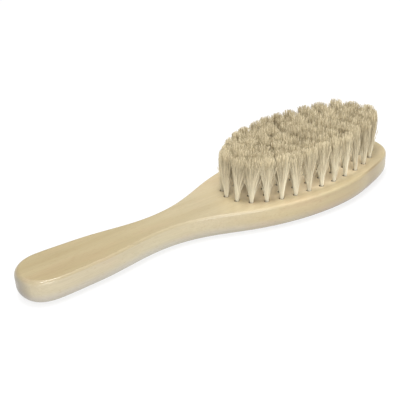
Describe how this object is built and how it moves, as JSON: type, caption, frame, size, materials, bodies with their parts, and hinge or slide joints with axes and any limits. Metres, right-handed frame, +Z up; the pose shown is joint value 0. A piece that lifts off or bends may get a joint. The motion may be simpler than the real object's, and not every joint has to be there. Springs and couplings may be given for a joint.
{
  "type": "clothes brush",
  "caption": "Handled clothes brush: flat lacquered beech paddle with a waisted neck and rounded edges, its oval head drilled for flared natural bristle tufts.",
  "frame": {"origin": "under the middle of the brush's length, on the surface that its flat back lies on", "axes": "+X along the brush from the handle to the head, +Z up out of the face that carries the bristles, +Y across the brush; the XZ plane is the wooden body's plane of symmetry"},
  "size_m": [0.225, 0.0624, 0.038],
  "materials": {
    "beech_body": "pale straight-grained beech under clear semi-gloss lacquer",
    "bristle": "natural animal bristle, cream at the roots and darker taupe towards the cut tips"
  },
  "bodies": {
    "root": {"brush_body": "beech_body", "outer_tuft_01": "bristle", "outer_tuft_02": "bristle", "outer_tuft_03": "bristle", "outer_tuft_04": "bristle", "outer_tuft_05": "bristle", "outer_tuft_06": "bristle", "outer_tuft_07": "bristle", "outer_tuft_08": "bristle", "outer_tuft_09": "bristle", "outer_tuft_10": "bristle", "outer_tuft_11": "bristle", "outer_tuft_12": "bristle", "outer_tuft_13": "bristle", "outer_tuft_14": "bristle", "outer_tuft_15": "bristle", "outer_tuft_16": "bristle", "outer_tuft_17": "bristle", "outer_tuft_18": "bristle", "outer_tuft_19": "bristle", "outer_tuft_20": "bristle", "outer_tuft_21": "bristle", "outer_tuft_22": "bristle", "outer_tuft_23": "bristle", "outer_tuft_24": "bristle", "outer_tuft_25": "bristle", "outer_tuft_26": "bristle", "outer_tuft_27": "bristle", "outer_tuft_28": "bristle", "middle_tuft_01": "bristle", "middle_tuft_02": "bristle", "middle_tuft_03": "bristle", "middle_tuft_04": "bristle", "middle_tuft_05": "bristle", "middle_tuft_06": "bristle", "middle_tuft_07": "bristle", "middle_tuft_08": "bristle", "middle_tuft_09": "bristle", "middle_tuft_10": "bristle", "middle_tuft_11": "bristle", "middle_tuft_12": "bristle", "middle_tuft_13": "bristle", "middle_tuft_14": "bristle", "middle_tuft_15": "bristle", "middle_tuft_16": "bristle", "middle_tuft_17": "bristle", "middle_tuft_18": "bristle", "middle_tuft_19": "bristle", "middle_tuft_20": "bristle", "middle_tuft_21": "bristle", "middle_tuft_22": "bristle", "inner_tuft_pair_1": "bristle", "inner_tuft_pair_2": "bristle", "inner_tuft_pair_3": "bristle", "inner_tuft_pair_4": "bristle", "inner_tuft_pair_5": "bristle", "inner_tuft_pair_6": "bristle", "inner_tuft_pair_7": "bristle", "inner_tuft_pair_8": "bristle", "centre_tuft_row": "bristle"}
  },
  "joints": []
}
